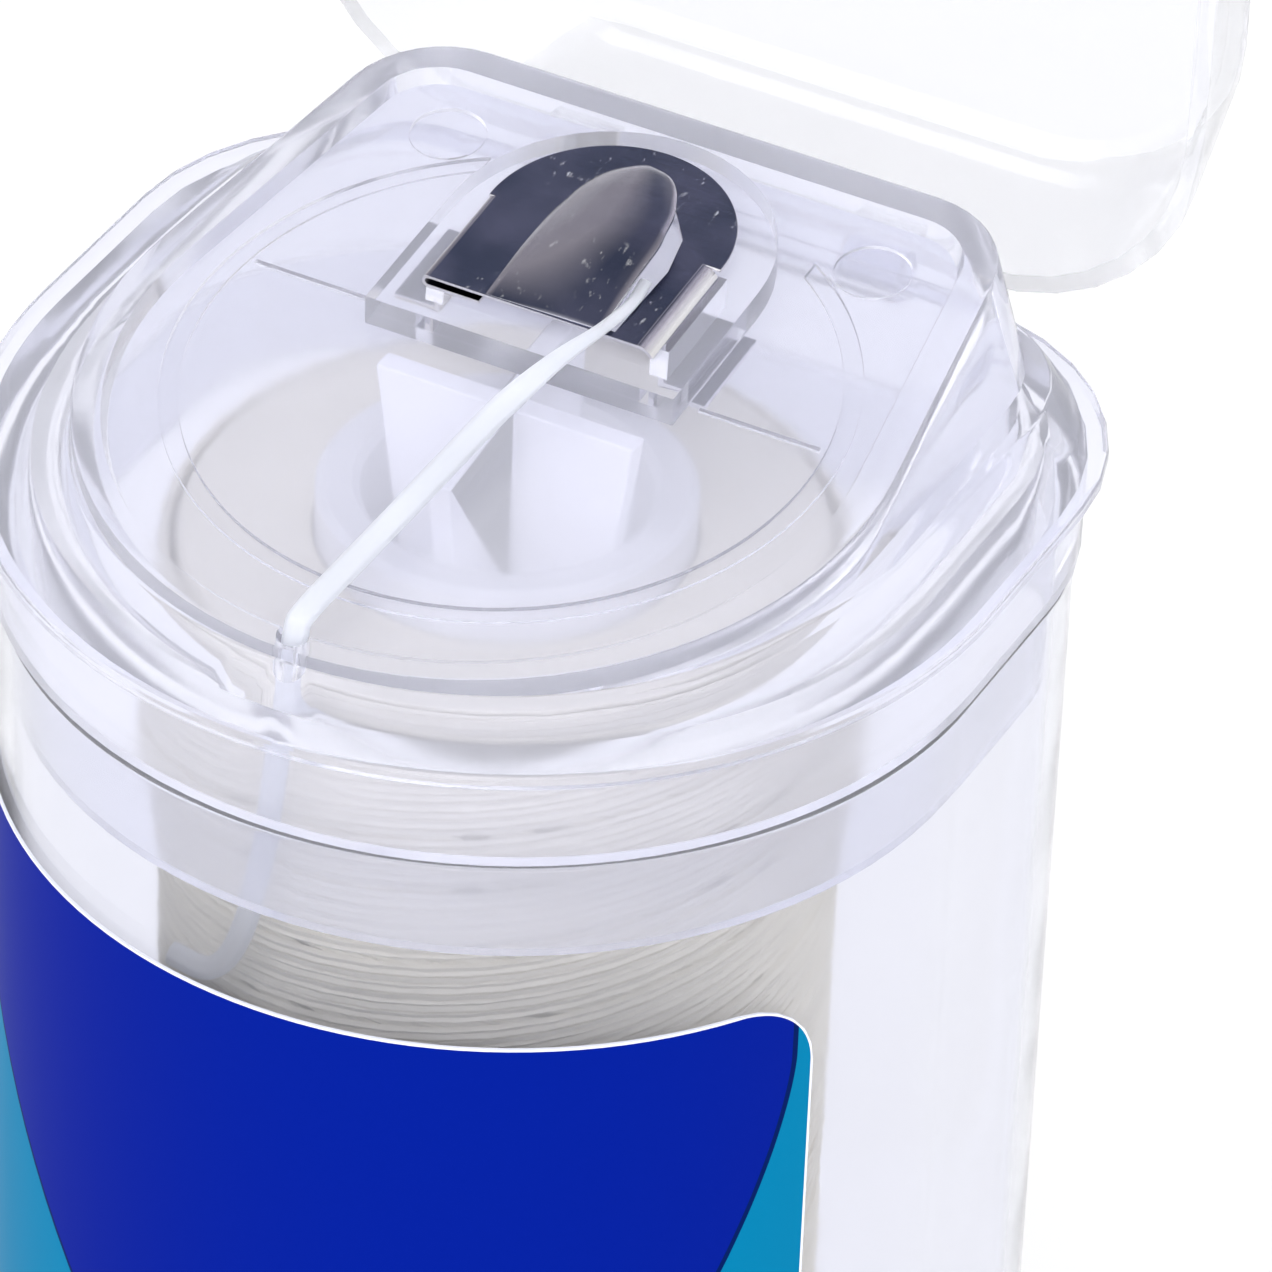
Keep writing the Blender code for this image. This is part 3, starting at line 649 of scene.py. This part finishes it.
def matte_band(tree, rough):
    """Roughness that rises on the matte band round the sloping deck."""
    _, y, z = parts(tree, tree.nodes.new("ShaderNodeTexCoord").outputs["Object"])
    above = math_node(tree, "SUBTRACT", z, math_node(tree, "MULTIPLY", y, DECK_SLOPE))
    above = math_node(tree, "SUBTRACT", above, deck_height(0))
    near = math_node(tree, "COMPARE", above, 0.0, BAND_WITHIN)
    return mixed(tree, near, rough, BAND_ROUGH, "FLOAT")


def frosted(name, tint, rough, clear, glow):
    """Frosted plastic: cloudy tone, fine grain and a painted glow lifting its shade, for light scattered
    inside.
    """
    made, tree, shader = new_material(name)
    cloud = spread(tree, grain(tree, scale=300.0, detail=2.0))
    feed_all(tree, shader, {
        "Base Color": mixed(tree, cloud, shade(tint, 0.97), tint),
        "Roughness": rough,
        "Transmission Weight": clear,
        "IOR": 1.45,
        # Emission paints a faint glow that lifts the shaded faces; the plastic is no lamp
        "Emission Color": tint,
        "Emission Strength": glow})
    bump_from(tree, shader, grain(tree, scale=2500.0), strength=0.2, distance=0.05 * MM)
    let_light_through(tree, shader, 0.85)
    return made


def waxed_thread(name, tint, clear=0.0):
    """Thread with the shared fibres in its own tint."""
    made, tree, shader = new_material(name)
    fibres = placed(tree, "waxed_fibres", Tint=tint, Shade=shade(tint, 0.9))
    feed_all(tree, shader, {
        "Base Color": fibres["Color"],
        "Roughness": 0.55,
        "Transmission Weight": clear,
        "Sheen Weight": 0.3})
    bump_from(tree, shader, fibres["Height"], strength=0.35, distance=0.06 * MM)
    let_light_through(tree, shader, 0.5)
    return made


def bright_steel(name):
    """Scuffed steel with painted reflections: dark where it faces up, paler where it leans, a highlight where
    bent.
    """
    made, tree, shader = new_material(name)
    normal = tree.nodes.new("ShaderNodeTexCoord").outputs["Normal"]
    # The base tone is a painted dark reflection, varied at random
    cloud = map_range(tree, grain(tree, scale=260.0), low=0.35, high=0.65)
    tone = mixed(tree, cloud, STEEL_PAINTED_DARK_REFLECTION, STEEL_PAINTED_REFLECTION_PALER)
    # Faces turned sideways get paler painted light
    sideways_for_painted_light = math_node(tree, "ABSOLUTE", parts(tree, normal)[0])
    tone = mixed(tree, map_range(tree, sideways_for_painted_light, low=0.02, high=0.2, to_high=0.9), tone, STEEL_PAINTED_SIDE_LIGHT)
    nick = grain(tree, scale=2600.0, detail=4.0, stretch=(1, 0.5, 1))
    worn = grain(tree, scale=170.0, detail=1.0)
    scuff = math_node(tree, "MULTIPLY", map_range(tree, nick, low=0.62, high=0.72),
                      map_range(tree, worn, low=0.5, high=0.62, to_high=0.75))
    tone = mixed(tree, scuff, tone, STEEL_SCUFFED)
    # Faces bent away from level get a painted highlight in place of a bright reflection
    level = dot(tree, normal, Vector((0, -DECK_SLOPE, 1)).normalized())
    bent = map_range(tree, level, low=0.7, high=0.95, to_low=1, to_high=0)
    brush = grain(tree, scale=900.0, detail=4.0, stretch=(1, 6, 1))
    feed_all(tree, shader, {
        "Base Color": mixed(tree, bent, tone, STEEL_PAINTED_HIGHLIGHT),
        "Metallic": 1.0,
        "Roughness": spread(tree, brush, 0.17, 0.27)})
    bump_from(tree, shader, brush, strength=0.03, distance=0.03 * MM)
    return made


def printed_film(name, field, wave):
    """Lobe between two paler sides, a fine line along each boundary and a bare white edge."""
    made, tree, shader = new_material(name)
    place = tree.nodes.new("ShaderNodeTexCoord")
    x, y, z = parts(tree, place.outputs["Object"])

    def m(operation, *values):
        return math_node(tree, operation, *values)

    def past(value, limit):
        return m("MAXIMUM", m("SUBTRACT", value, limit), 0.0)

    angle = m("ARCTAN2", x, m("MULTIPLY", y, -1.0))
    below = m("MAXIMUM", m("SUBTRACT", LOBE_RIGHT_TOP, z), 0.0)
    right = m("SUBTRACT", LOBE_RIGHT, m("MULTIPLY", m("POWER", below, LOBE_RIGHT_POWER), LOBE_RIGHT_CURVE))
    left = m("ADD", m("MULTIPLY", m("SUBTRACT", LOBE_LEFT_TOP, z), LOBE_LEFT_LEAN), LOBE_LEFT)
    inside = m("MINIMUM", m("SUBTRACT", right, angle), m("SUBTRACT", angle, left))
    across = past(m("MULTIPLY", m("ABSOLUTE", angle), LABEL_RADIUS), LABEL_HALF * LABEL_RADIUS - LABEL_CORNER)
    off_middle = m("ABSOLUTE", m("SUBTRACT", z, (LABEL_LOW + LABEL_HIGH) * 0.5))
    tall = past(off_middle, (LABEL_HIGH - LABEL_LOW) * 0.5 - LABEL_CORNER)
    reach = m("SQRT", m("ADD", m("MULTIPLY", across, across), m("MULTIPLY", tall, tall)))
    outward = dot(tree, place.outputs["Object"], place.outputs["Normal"])
    printed = mixed(tree, m("GREATER_THAN", inside, 0.0), wave, field)
    for mask, colour in ((m("COMPARE", inside, 0.0, LINE_HALF), PRINT_LINE),
                         (m("GREATER_THAN", reach, LABEL_CORNER - LABEL_BARE), PRINT_BARE),
                         (m("LESS_THAN", outward, 0.0), PRINT_BACK)):
        printed = mixed(tree, mask, printed, colour)
    feed_all(tree, shader, {
        "Base Color": printed,
        "Roughness": 0.42,
        "Specular IOR Level": 0.05,
        "IOR": 1.25})
    bump_from(tree, shader, grain(tree, scale=70.0, detail=1.0), strength=0.08, distance=0.3 * MM)
    let_light_through(tree, shader, 0.5)
    return made


# Operators

class FLOSS_OT_stage(bpy.types.Operator):
    """Floor, world, soft lights and the camera"""
    bl_idname = "floss.stage"
    bl_label = "Stage"

    def execute(self, context):
        scene = context.scene
        scene.view_settings.view_transform = "Standard"
        scene.cycles.transparent_max_bounces = BOUNCES
        scene.cycles.max_bounces = BOUNCES
        scene.cycles.transmission_bounces = BOUNCES
        self.world(scene)
        self.floor()
        self.lights()
        self.camera(scene)
        return {"FINISHED"}

    def world(self, scene):
        world = bpy.data.worlds.new("studio")
        scene.world = world
        world.use_nodes = True
        tree = world.node_tree
        dim = feed_all(tree, tree.nodes["Background"], {"Color": WORLD_COLOUR, "Strength": WORLD_STRENGTH})
        glow_for_view(tree, dim, tree.nodes["World Output"], "ShaderNodeBackground", 1.0)

    def floor(self):
        deselect()
        bpy.ops.mesh.primitive_grid_add(x_subdivisions=4, y_subdivisions=4, size=FLOOR_SIZE)
        floor = context_piece("studio_floor")
        made, tree, shader = new_material("pale_floor")
        feed_all(tree, shader, {"Base Color": FLOOR_COLOUR, "Roughness": 0.9})
        glow_for_view(tree, shader, tree.nodes["Material Output"], "ShaderNodeEmission", FLOOR_GLOW)
        floor.data.materials.append(made)

    def lights(self):
        for name, place, size, power in LAMPS:
            lamp = bpy.data.lights.new(name, "AREA")
            lamp.size = size
            lamp.energy = power
            thing = linked(name, lamp)
            thing.location = place
            aim = LAMPS_AIM - Vector(place)
            thing.rotation_euler = aim.to_track_quat("-Z", "Y").to_euler()

    def camera(self, scene):
        lens = bpy.data.cameras.new("camera")
        lens.lens = FOCAL_MM
        lens.sensor_width = SENSOR_MM
        lens.clip_start = CLIP_START
        thing = linked("camera", lens)
        a, e, r = VIEW_AZIMUTH, VIEW_ELEVATION, VIEW_ROLL
        ahead = Vector((-math.sin(a) * math.cos(e), math.cos(a) * math.cos(e), -math.sin(e)))
        level = Vector((math.cos(a), math.sin(a), 0))
        above = level.cross(ahead)
        side = math.cos(r) * level + math.sin(r) * above
        top = -math.sin(r) * level + math.cos(r) * above
        turn = Matrix((side, top, -ahead)).transposed()
        thing.matrix_world = Matrix.Translation(VIEW_PLACE) @ turn.to_4x4()
        scene.camera = thing


class FLOSS_OT_shell(bpy.types.Operator):
    """Container, closure and lid in clear plastic"""
    bl_idname = "floss.shell"
    bl_label = "Clear pieces"

    def execute(self, context):
        colours, sizes = context.scene.floss_colours, context.scene.floss_sizes
        tint = tuple(colours.plastic)
        cloudy = [c * share for c, share in zip(tint, MILKY_SHARES)]
        clear = moulded_clear("clear_plastic", tint, rough=0.05, milk=0.06)
        faint = moulded_clear("lid_plastic", tint, rough=0.05, milk=0.06, solid=0.65)
        milky = moulded_clear("milky_plastic", cloudy, rough=0.11, milk=0.17, deck=True)
        dressed(self.container(sizes.edge), clear, "dispenser", "clear_body", "container_body")
        deck = smooth(cut(refined_copy("closure_deck", "closure", 0), self.grooves()))
        dressed(deck, milky, "dispenser", "clear_closure", "closure_deck")
        lid = refined_copy("flip_lid", "lid", sizes.edge)
        dressed(lid, faint, "lid", "clear_lid", "flip_lid")
        return {"FINISHED"}

    def grooves(self):
        """Shallow lines in the deck's floor: a ring open behind the cutter and a fold on each side."""
        deselect()
        bpy.ops.mesh.primitive_cylinder_add(
            vertices=ROUND_SIDES, radius=CREASE_RADIUS + CREASE_WIDTH, depth=2 * CREASE_DEEP)
        ring = context_piece("deck_ring")
        bpy.ops.mesh.primitive_cylinder_add(
            vertices=ROUND_SIDES, radius=CREASE_RADIUS - CREASE_WIDTH, depth=MM)
        cut(ring, context_piece("ring_middle"))
        cut(ring, block("ring_gap", (-CREASE_GAP, 0, -MM), (CREASE_GAP, 2 * CREASE_RADIUS, MM)))
        pieces = [ring]
        for side in (-1, 1):
            pieces.append(block(
                "deck_fold", (side * CREASE_GAP, FOLD_Y - FOLD_WIDTH, -CREASE_DEEP),
                (side * (CREASE_RADIUS - 2 * CREASE_WIDTH), FOLD_Y + FOLD_WIDTH, CREASE_DEEP)))
        return onto_deck(joined(pieces, "deck_grooves"), -RECESS)

    def container(self, edge):
        """Tub: the plan raised, hollowed and rounded, with its low boss for the core."""
        low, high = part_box("container_body")
        d_plan("container", high.x, high.y, BODY_CORNER, low.z)
        extrude(0, 0, high.z - low.z)
        bpy.ops.mesh.inset(thickness=BODY_WALL, use_even_offset=True)
        extrude(0, 0, BODY_FLOOR - high.z + low.z)
        object_mode()
        piece = bpy.context.object
        bpy.ops.mesh.primitive_cylinder_add(
            vertices=BOSS_SIDES, radius=BOSS_RADIUS, depth=BOSS_HEIGHT,
            location=(0, 0, BODY_FLOOR + BOSS_HEIGHT * 0.5 - BOSS_ROOT))
        cut(piece, settle(context_piece("container_boss")), "UNION")
        return smooth(round_edges(piece, edge * 2, angle=50, segments=3))


class FLOSS_OT_cutter(bpy.types.Operator):
    """Stamped steel cutter with rolled sides, a crowned leaf and legs through the deck"""
    bl_idname = "floss.cutter"
    bl_label = "Cutter"

    def execute(self, context):
        pieces = [self.plate(), self.leaf(), self.roll(1, ROLL_RIGHT, 0), self.roll(-1, ROLL_LEFT, HEM)]
        pieces += [self.leg(side) for side in (1, -1)]
        cutter = onto_deck(joined(pieces, "cutter"), PLATE_TOP)
        dressed(smooth(cutter, 38), bright_steel("bright_steel"), "dispenser", "steel", "cutter_plate")
        return {"FINISHED"}

    def plate(self):
        """Arch-shaped sheet with its window, its sides left free for the rolled edges."""
        piece = d_plan("cutter_sheet", PLATE_HALF, PLATE_CENTRE - PLATE_FRONT, PLATE_CORNER, 0)
        extrude(0, 0, -SHEET)
        object_mode()
        piece.rotation_euler.z = math.pi
        piece.location.y = PLATE_CENTRE
        settle(piece)
        for side, roll in ((1, ROLL_RIGHT), (-1, ROLL_LEFT)):
            cut(piece, block("free_side", (side * (PLATE_HALF - roll - SHEET * 0.5), PLATE_FRONT - MM, -MM),
                             (side * (PLATE_HALF + MM), ROLL_BACK, MM)))
        window = drawn("window", [(x, y, -MM) for x, y in WINDOW], [], [list(range(len(WINDOW)))])
        edit_all(window)
        extrude(0, 0, 2 * MM)
        object_mode()
        return round_edges(cut(piece, window), SHEET * 0.3)

    def roll(self, side, radius, hem):
        """Side bent down, with its hem folded back under."""
        start = PLATE_HALF - radius - SHEET * 0.5
        far = math.pi if hem else ROLL_TURN
        profile = [(start - SEAM, -SHEET * 0.5)]
        for i in range(ROLL_STEPS + 1):
            turn = far * i / ROLL_STEPS
            profile.append((start + radius * math.sin(turn), -SHEET * 0.5 - radius * (1 - math.cos(turn))))
        if hem:
            profile.append((start - hem, profile[-1][1]))
        piece = drawn("cutter_side", [(side * x, PLATE_FRONT, z) for x, z in profile],
                      [(i, i + 1) for i in range(len(profile) - 1)], [])
        edit_all(piece)
        extrude(0, ROLL_BACK - PLATE_FRONT, 0)
        object_mode()
        return round_edges(thickened(piece, SHEET, 0), SHEET * 0.25)

    def leg(self, side):
        """Leg through the deck with its tab bent out below."""
        piece = block("cutter_leg", (side * LEG_IN, LEG_FRONT, TAB_LOW), (side * LEG_OUT, LEG_BACK, LEG_TOP))
        tab = block("cutter_tab", (side * LEG_IN, LEG_FRONT, TAB_LOW),
                    (side * TAB_OUT, LEG_BACK, TAB_LOW + LEG_OUT - LEG_IN))
        return round_edges(cut(piece, tab, "UNION"), SHEET * 0.4)

    def leaf(self):
        """Crowned leaf, raised along its right edge and its tip."""
        along = np.linspace(LEAF_LEFT[0][1], LEAF_LEFT[-1][1], LEAF_ROWS + 1)
        sides = []
        for points in (LEAF_LEFT, LEAF_RIGHT):
            x = np.interp(along, [p[1] for p in points], [p[0] for p in points])
            for _ in range(LEAF_SOFTENINGS):
                x[1:-1] = (x[:-2] + 2 * x[1:-1] + x[2:]) / 4
            sides.append(x)
        deselect()
        bpy.ops.mesh.primitive_grid_add(x_subdivisions=LEAF_COLUMNS, y_subdivisions=LEAF_ROWS, size=1)
        piece = context_piece("cutter_leaf")
        for vertex in piece.data.vertices:
            u, v = vertex.co.x + 0.5, vertex.co.y + 0.5
            row = round(v * LEAF_ROWS)
            left, right = sides[0][row], sides[1][row]
            x = left + (right - left) * u
            lift = LEAF_RISE * (x - LEAF_LEFT[0][0]) / LEAF_SPAN
            lift *= min(1, LEAF_RISE_FRONT + LEAF_RISE_RATE * v)
            crown = LEAF_CROWN * min(1, (right - left) / LEAF_BROAD)
            crown *= math.sin(math.pi * (LEAF_CROWN_SIDE + (1 - 2 * LEAF_CROWN_SIDE) * u))
            crown *= math.sin(math.pi * min(0.5, LEAF_CROWN_RATE * v))
            vertex.co = (x, along[row], lift + crown + SEAM)
        thickened(piece, SHEET * LEAF_SHEETS, -1)
        return round_edges(merged(piece, LEAF_MERGE), SHEET * 0.3, angle=50)


class FLOSS_OT_spool(bpy.types.Operator):
    """Spindle, core and the cross-wound package of floss"""
    bl_idname = "floss.spool"
    bl_label = "Spool"

    def execute(self, context):
        colours, sizes = context.scene.floss_colours, context.scene.floss_sizes
        # The glow values are painted light, strongest on the spindle
        cloudy = frosted("frosted_plastic", SPINDLE_TINT, rough=0.45, clear=0.2, glow=0.24)
        pale = frosted("core_plastic", CORE_TINT, rough=0.35, clear=0.25, glow=0.03)
        thread = waxed_thread("waxed_thread", tuple(colours.floss))
        spindle = refined_copy("spool_spindle", "spindle", SPINDLE_EDGE)
        dressed(spindle, cloudy, "dispenser", "frosted_plastic", "spool_spindle")
        core = refined_copy("spool_core", "core", 0)
        dressed(core, pale, "spool", "core_plastic", "spool_core")
        dressed(self.layers(), thread, "spool", "floss_inner", "floss_layers")
        wound = self.winding(sizes.thread, sizes.strokes)
        dressed(wound, thread, "spool", "floss_outer", "floss_winding")
        return {"FINISHED"}

    def layers(self):
        """Body of the package under its outer threads."""
        low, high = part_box("floss_layers")
        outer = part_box("floss_winding")[1].x - PACKAGE_UNDER
        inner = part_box("spool_core")[1].x + PACKAGE_GAP
        profile = [(inner, high.z - PACKAGE_DISH), (outer - PACKAGE_ROUND, high.z),
                   (outer - PACKAGE_CHAMFER, high.z - PACKAGE_CHAMFER), (outer, high.z - PACKAGE_ROUND),
                   (outer, low.z + PACKAGE_ROUND), (outer - PACKAGE_FOOT, low.z), (inner, low.z)]
        count = len(profile)
        piece = drawn("package_body", [(r, 0, z) for r, z in profile],
                      [(i, (i + 1) % count) for i in range(count)], [])
        turn = piece.modifiers.new("turn", "SCREW")
        turn.steps = turn.render_steps = ROUND_SIDES
        turn.use_merge_vertices = True
        turn.merge_threshold = TOUCHING
        return smooth(right_way_out(finish_modifiers(piece)), 50)

    def winding(self, thread, strokes):
        """One thread laid up and down the package in crossing strokes."""
        low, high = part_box("floss_layers")
        bottom, top = low.z + THREAD_FOOT, high.z - THREAD_HEAD
        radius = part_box("floss_winding")[1].x - thread * THREAD_INSET
        curve = bpy.data.curves.new("package_thread", "CURVE")
        curve.dimensions = "3D"
        curve.bevel_depth = thread * 0.5
        curve.bevel_resolution = 0
        curve.use_fill_caps = True
        line = curve.splines.new("POLY")
        line.points.add(strokes * STROKE_POINTS - 1)
        for index, point in enumerate(line.points):
            stroke, share = index // STROKE_POINTS, index % STROKE_POINTS / STROKE_POINTS
            upward = stroke % 2 == 0
            height = share if upward else 1 - share
            ease = 0.5 - 0.5 * math.cos(math.pi * height)
            height += (ease - height) * STROKE_EASE
            angle = 2 * math.pi * (STROKE_TURNS * (stroke + share) + STROKE_SLIP * stroke)
            near = radius if upward else radius - STROKE_UNDER
            x, y = near * math.cos(angle), near * math.sin(angle)
            point.co = (x, y, bottom + (top - bottom) * height, 1)
        linked("package_thread", curve)
        bpy.ops.object.convert(target="MESH")
        return smooth(merged(context_piece("package_thread"), TOUCHING), 60)


class FLOSS_OT_strand(bpy.types.Operator):
    """Strand from the package to the cutter, a flat bundle of fibres with a slow twist"""
    bl_idname = "floss.strand"
    bl_label = "Strand"

    def execute(self, context):
        route = list(STRAND_RISE) + [(x, y, deck_height(y) + above) for x, y, above in STRAND_OVER]
        strand = self.bundle([Vector(point) for point in route])
        thread = waxed_thread("strand_thread", STRAND_TINT, clear=0.5)
        dressed(strand, thread, "dispenser", "floss_line", "floss_strand")
        return {"FINISHED"}

    def bundle(self, route):
        """Grooved oval section carried along the route, narrower at the cutter."""
        points = self.curved(route)
        shape = bmesh.new()
        rings = []
        for i, point in enumerate(points):
            ahead = (points[min(i + 1, len(points) - 1)] - points[max(i - 1, 0)]).normalized()
            across = ahead.cross(STRAND_FACING).normalized()
            above = across.cross(ahead).normalized()
            pinch = min(1, max(0, (point.y - PINCH_FROM) / (PINCH_TO - PINCH_FROM)))
            full = 1 - STRAND_PINCH * pinch * pinch * (3 - 2 * pinch)
            ring = []
            for j in range(STRAND_SIDES):
                turn = 2 * math.pi * j / STRAND_SIDES
                flute = 0.5 + 0.5 * math.cos(STRAND_FLUTES * turn + i * STRAND_TWIST)
                reach = 0.5 * full * (1 - STRAND_FLUTE_DEPTH * flute)
                ring.append(shape.verts.new(point + across * (STRAND_WIDE * reach * math.cos(turn))
                                            + above * (STRAND_THICK * reach * math.sin(turn))))
            rings.append(ring)
        for a, b in zip(rings, rings[1:]):
            for j in range(STRAND_SIDES):
                k = (j + 1) % STRAND_SIDES
                shape.faces.new((a[j], a[k], b[k], b[j]))
        shape.faces.new(rings[0])
        shape.faces.new(list(reversed(rings[-1])))
        mesh = bpy.data.meshes.new("strand")
        shape.to_mesh(mesh)
        shape.free()
        return smooth(right_way_out(linked("strand", mesh)), 60)

    def curved(self, route):
        """Even curve through the route's points."""
        ends = [route[0] * 2 - route[1]] + route + [route[-1] * 2 - route[-2]]
        points = []
        for a, b, c, d in zip(ends, ends[1:], ends[2:], ends[3:]):
            steps = max(STRAND_LEAST_STEPS, round((c - b).length / STRAND_STEP))
            for i in range(steps):
                t = i / steps
                points.append((b * 2 + (c - a) * t + (a * 2 - b * 5 + c * 4 - d) * t ** 2
                               + (b * 3 - a - c * 3 + d) * t ** 3) * 0.5)
        return points + [route[-1]]


class FLOSS_OT_label(bpy.types.Operator):
    """Printed film on the round front"""
    bl_idname = "floss.label"
    bl_label = "Label"

    def execute(self, context):
        colours = context.scene.floss_colours
        film = printed_film("printed_film", tuple(colours.label_field), tuple(colours.label_wave))
        label = refined_copy("front_label", "label", 0)
        dressed(label, film, "dispenser", "label_blue", "front_label")
        return {"FINISHED"}


class FLOSS_PT_panel(bpy.types.Panel):
    """Lists the steps in the sidebar"""
    bl_idname = "FLOSS_PT_panel"
    bl_label = "Floss dispenser"
    bl_space_type = "VIEW_3D"
    bl_region_type = "UI"
    bl_category = "Floss"

    def draw(self, context):
        layout = self.layout
        for group in (context.scene.floss_colours, context.scene.floss_sizes):
            for name in group.__annotations__:
                layout.prop(group, name)
        for step in STEPS:
            layout.operator(step.bl_idname)


STEPS = (FLOSS_OT_stage, FLOSS_OT_shell, FLOSS_OT_cutter, FLOSS_OT_spool, FLOSS_OT_strand, FLOSS_OT_label)
CLASSES = (FlossColours, FlossSizes, *STEPS, FLOSS_PT_panel)


def register():
    for kind in CLASSES:
        bpy.utils.register_class(kind)
    bpy.types.Scene.floss_colours = bpy.props.PointerProperty(type=FlossColours)
    bpy.types.Scene.floss_sizes = bpy.props.PointerProperty(type=FlossSizes)


def unregister():
    del bpy.types.Scene.floss_sizes
    del bpy.types.Scene.floss_colours
    for kind in reversed(CLASSES):
        bpy.utils.unregister_class(kind)


def main():
    register()
    bpy.ops.floss.stage()
    bpy.ops.floss.shell()
    bpy.ops.floss.cutter()
    bpy.ops.floss.spool()
    bpy.ops.floss.strand()
    bpy.ops.floss.label()
    deselect()


if __name__ == "__main__":
    main()
